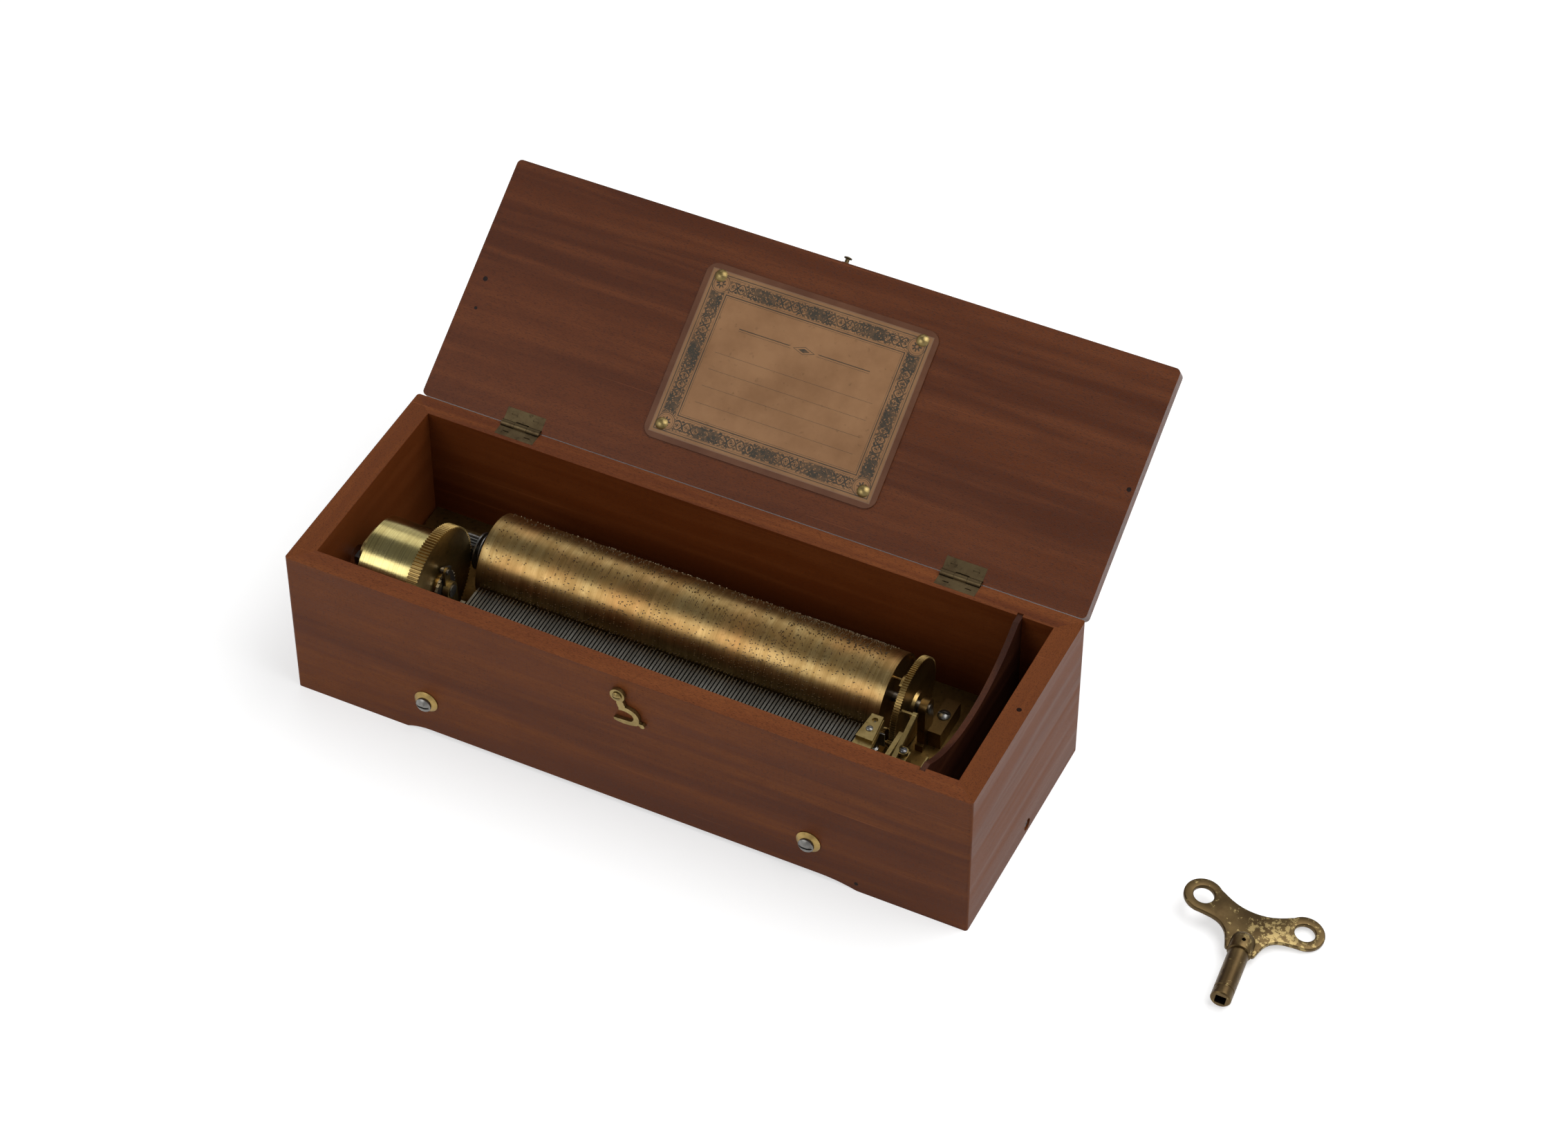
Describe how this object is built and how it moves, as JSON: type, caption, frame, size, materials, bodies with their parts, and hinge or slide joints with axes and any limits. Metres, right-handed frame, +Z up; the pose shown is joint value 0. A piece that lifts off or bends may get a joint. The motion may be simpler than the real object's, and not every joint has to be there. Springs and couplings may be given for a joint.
{
  "type": "cylinder music box",
  "caption": "Key-wound cylinder music box with its lid open: wooden case, pinned brass cylinder, steel comb, spring barrel and governor, with the winding key beside it.",
  "frame": {"origin": "centre of the case's footprint on the table, just under the bottom board", "axes": "+X along the case towards the governor end, +Y to the hinged back, +Z up"},
  "size_m": [0.5234, 0.2521, 0.1646],
  "materials": {
    "case_wood": "polished, worn",
    "lid_wood": "polished, worn",
    "bottom_wood": "plain",
    "partition_wood": "plain",
    "steel": "worn",
    "comb_steel": "ground",
    "brass": "aged",
    "cylinder_brass": "aged, brushed",
    "drum_brass": "aged, bright",
    "paper": "aged paper",
    "film": "clear film",
    "lead": "dull lead"
  },
  "bodies": {
    "case": {"front_board": "case_wood", "back_board": "case_wood", "left_end_board": "case_wood", "right_end_board": "case_wood", "bottom_board": "bottom_wood", "end_screw": "steel", "partition": "partition_wood", "partition_clip": "brass", "mounting_washers": "brass", "mounting_screws": "steel", "hinge_case_leaves": "brass", "hinge_pins": "steel", "hinge_case_screws": "steel", "hook_screw": "steel", "bedplate": "brass", "barrel_left_bridge": "brass", "barrel_right_bridge": "brass", "barrel_bridge_screws": "steel", "click_screw": "steel", "cylinder_left_bridge": "brass", "cylinder_right_bridge": "brass", "cylinder_bridge_screws": "steel", "comb": "comb_steel", "comb_base": "brass", "comb_screws": "steel", "comb_weights": "lead", "governor_frame": "brass", "governor_cap": "brass", "governor_cap_screw": "steel", "governor_screws": "steel", "lever_block": "brass", "lever_screws": "steel"},
    "lid": {"lid_board": "lid_wood", "hinge_lid_leaves": "brass", "hinge_lid_screws": "steel", "label_card": "paper", "label_film": "film", "label_tacks": "brass", "lid_stud": "brass"},
    "hook": {"hook": "brass"},
    "barrel": {"barrel_drum": "drum_brass", "barrel_great_wheel": "brass", "mainspring": "steel"},
    "winding_arbor": {"barrel_arbor": "steel", "ratchet_wheel": "steel"},
    "click": {"ratchet_click": "steel"},
    "arbor": {"cylinder_arbor": "steel", "arbor_pinion": "steel", "cylinder_great_wheel": "brass", "cylinder_spring": "steel"},
    "cylinder": {"cylinder": "cylinder_brass"},
    "snail": {"tune_snail": "brass"},
    "cross_arbor": {"worm_wheel": "brass"},
    "endless": {"endless_worm": "steel"},
    "stop_lever": {"stop_lever": "brass"},
    "change_lever": {"change_lever": "brass"},
    "key": {"winding_key": "brass"}
  },
  "joints": [
    {"name": "lid_hinge", "type": "hinge", "parent": "case", "child": "lid", "pos_m": [0, 0.066, 0.09], "axis": [1, 0, 0], "range_deg": [0, 146.25]},
    {"name": "hook_pivot", "type": "hinge", "parent": "case", "child": "hook", "pos_m": [-0.0001, -0.0673, 0.0794], "axis": [0, 1, 0], "range_deg": [-30, 192]},
    {"name": "cylinder_spin", "type": "hinge", "parent": "case", "child": "arbor", "pos_m": [0, 0.0151, 0.04989], "axis": [1, 0, 0], "continuous": true},
    {"name": "cylinder_shift", "type": "slide", "parent": "arbor", "child": "cylinder", "axis": [1, 0, 0], "range_m": [0, 0.00144]},
    {"name": "snail_turn", "type": "hinge", "parent": "arbor", "child": "snail", "pos_m": [0.113, 0.0151, 0.05899], "axis": [1, 0, 0], "range_deg": [0, 270]},
    {"name": "barrel_spin", "type": "hinge", "parent": "case", "child": "barrel", "pos_m": [0, -0.0213, 0.0563], "axis": [1, 0, 0], "continuous": true},
    {"name": "winding", "type": "hinge", "parent": "case", "child": "winding_arbor", "pos_m": [0, -0.0213, 0.0563], "axis": [-1, 0, 0], "range_deg": [0, 15]},
    {"name": "click_lift", "type": "hinge", "parent": "case", "child": "click", "pos_m": [0, -0.0213, 0.0683], "axis": [1, 0, 0], "range_deg": [0, 7.2]},
    {"name": "cross_arbor_spin", "type": "hinge", "parent": "case", "child": "cross_arbor", "pos_m": [0, -0.0098, 0.04503], "axis": [1, 0, 0], "continuous": true},
    {"name": "endless_spin", "type": "hinge", "parent": "case", "child": "endless", "pos_m": [0.1124, -0.0186, 0.05], "axis": [0, 0, 1], "continuous": true},
    {"name": "stop_lever_pivot", "type": "hinge", "parent": "case", "child": "stop_lever", "pos_m": [0.1284, -0.0205, 0.055], "axis": [0, 0, -1], "range_deg": [0, 5]},
    {"name": "change_lever_pivot", "type": "hinge", "parent": "case", "child": "change_lever", "pos_m": [0.1225, -0.028, 0.055], "axis": [0, 0, 1], "range_deg": [0, 6]},
    {"name": "key_lift", "type": "slide", "parent": "case", "child": "key", "axis": [0, 0, 1], "range_m": [0, 0.12]}
  ],
  "couplings": [
    {"joint": "snail_turn", "follows": "cylinder_shift", "rad_per_m": 3272},
    {"joint": "barrel_spin", "follows": "cylinder_spin", "ratio": -0.2},
    {"joint": "cross_arbor_spin", "follows": "cylinder_spin", "ratio": -13.75},
    {"joint": "endless_spin", "follows": "cylinder_spin", "ratio": 495},
    {"joint": "click_lift", "follows": "winding", "ratio": 0.4666}
  ]
}
